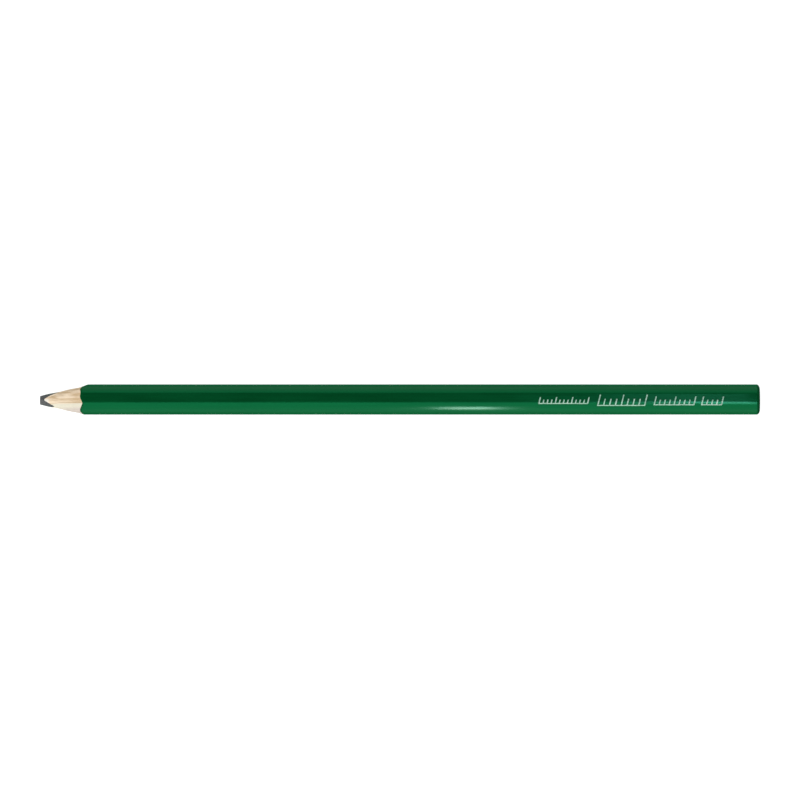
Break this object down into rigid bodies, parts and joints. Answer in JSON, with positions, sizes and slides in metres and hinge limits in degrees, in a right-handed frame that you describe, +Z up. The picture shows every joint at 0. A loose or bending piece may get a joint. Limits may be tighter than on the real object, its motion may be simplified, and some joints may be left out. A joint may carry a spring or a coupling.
{
  "type": "carpenter pencil",
  "caption": "Flattened oval carpenter's pencil lying on its broad flat: wooden slats glued round a wide rectangular lead, green lacquer, sealed end and foil ticks",
  "frame": {"origin": "on the ground under the middle of the pencil's length, width and flat", "axes": "X along the pencil with the tip towards -X and the sealed end towards +X, Y across its width, Z up through its thickness"},
  "size_m": [0.24, 0.0102, 0.007],
  "materials": {
    "bare_wood": "matte",
    "graphite": "satin",
    "glue": "matte",
    "green_lacquer": "gloss",
    "pale_foil": "satin"
  },
  "bodies": {
    "root": {"slat_upper": "bare_wood", "slat_lower": "bare_wood", "lead_core": "graphite", "glue_line_rear": "glue", "glue_line_front": "glue", "lacquer_coat": "green_lacquer", "end_dip": "green_lacquer", "foil_scale_fine": "pale_foil", "foil_scale_coarse": "pale_foil", "foil_scale_middle": "pale_foil", "foil_scale_short": "pale_foil"}
  },
  "joints": []
}
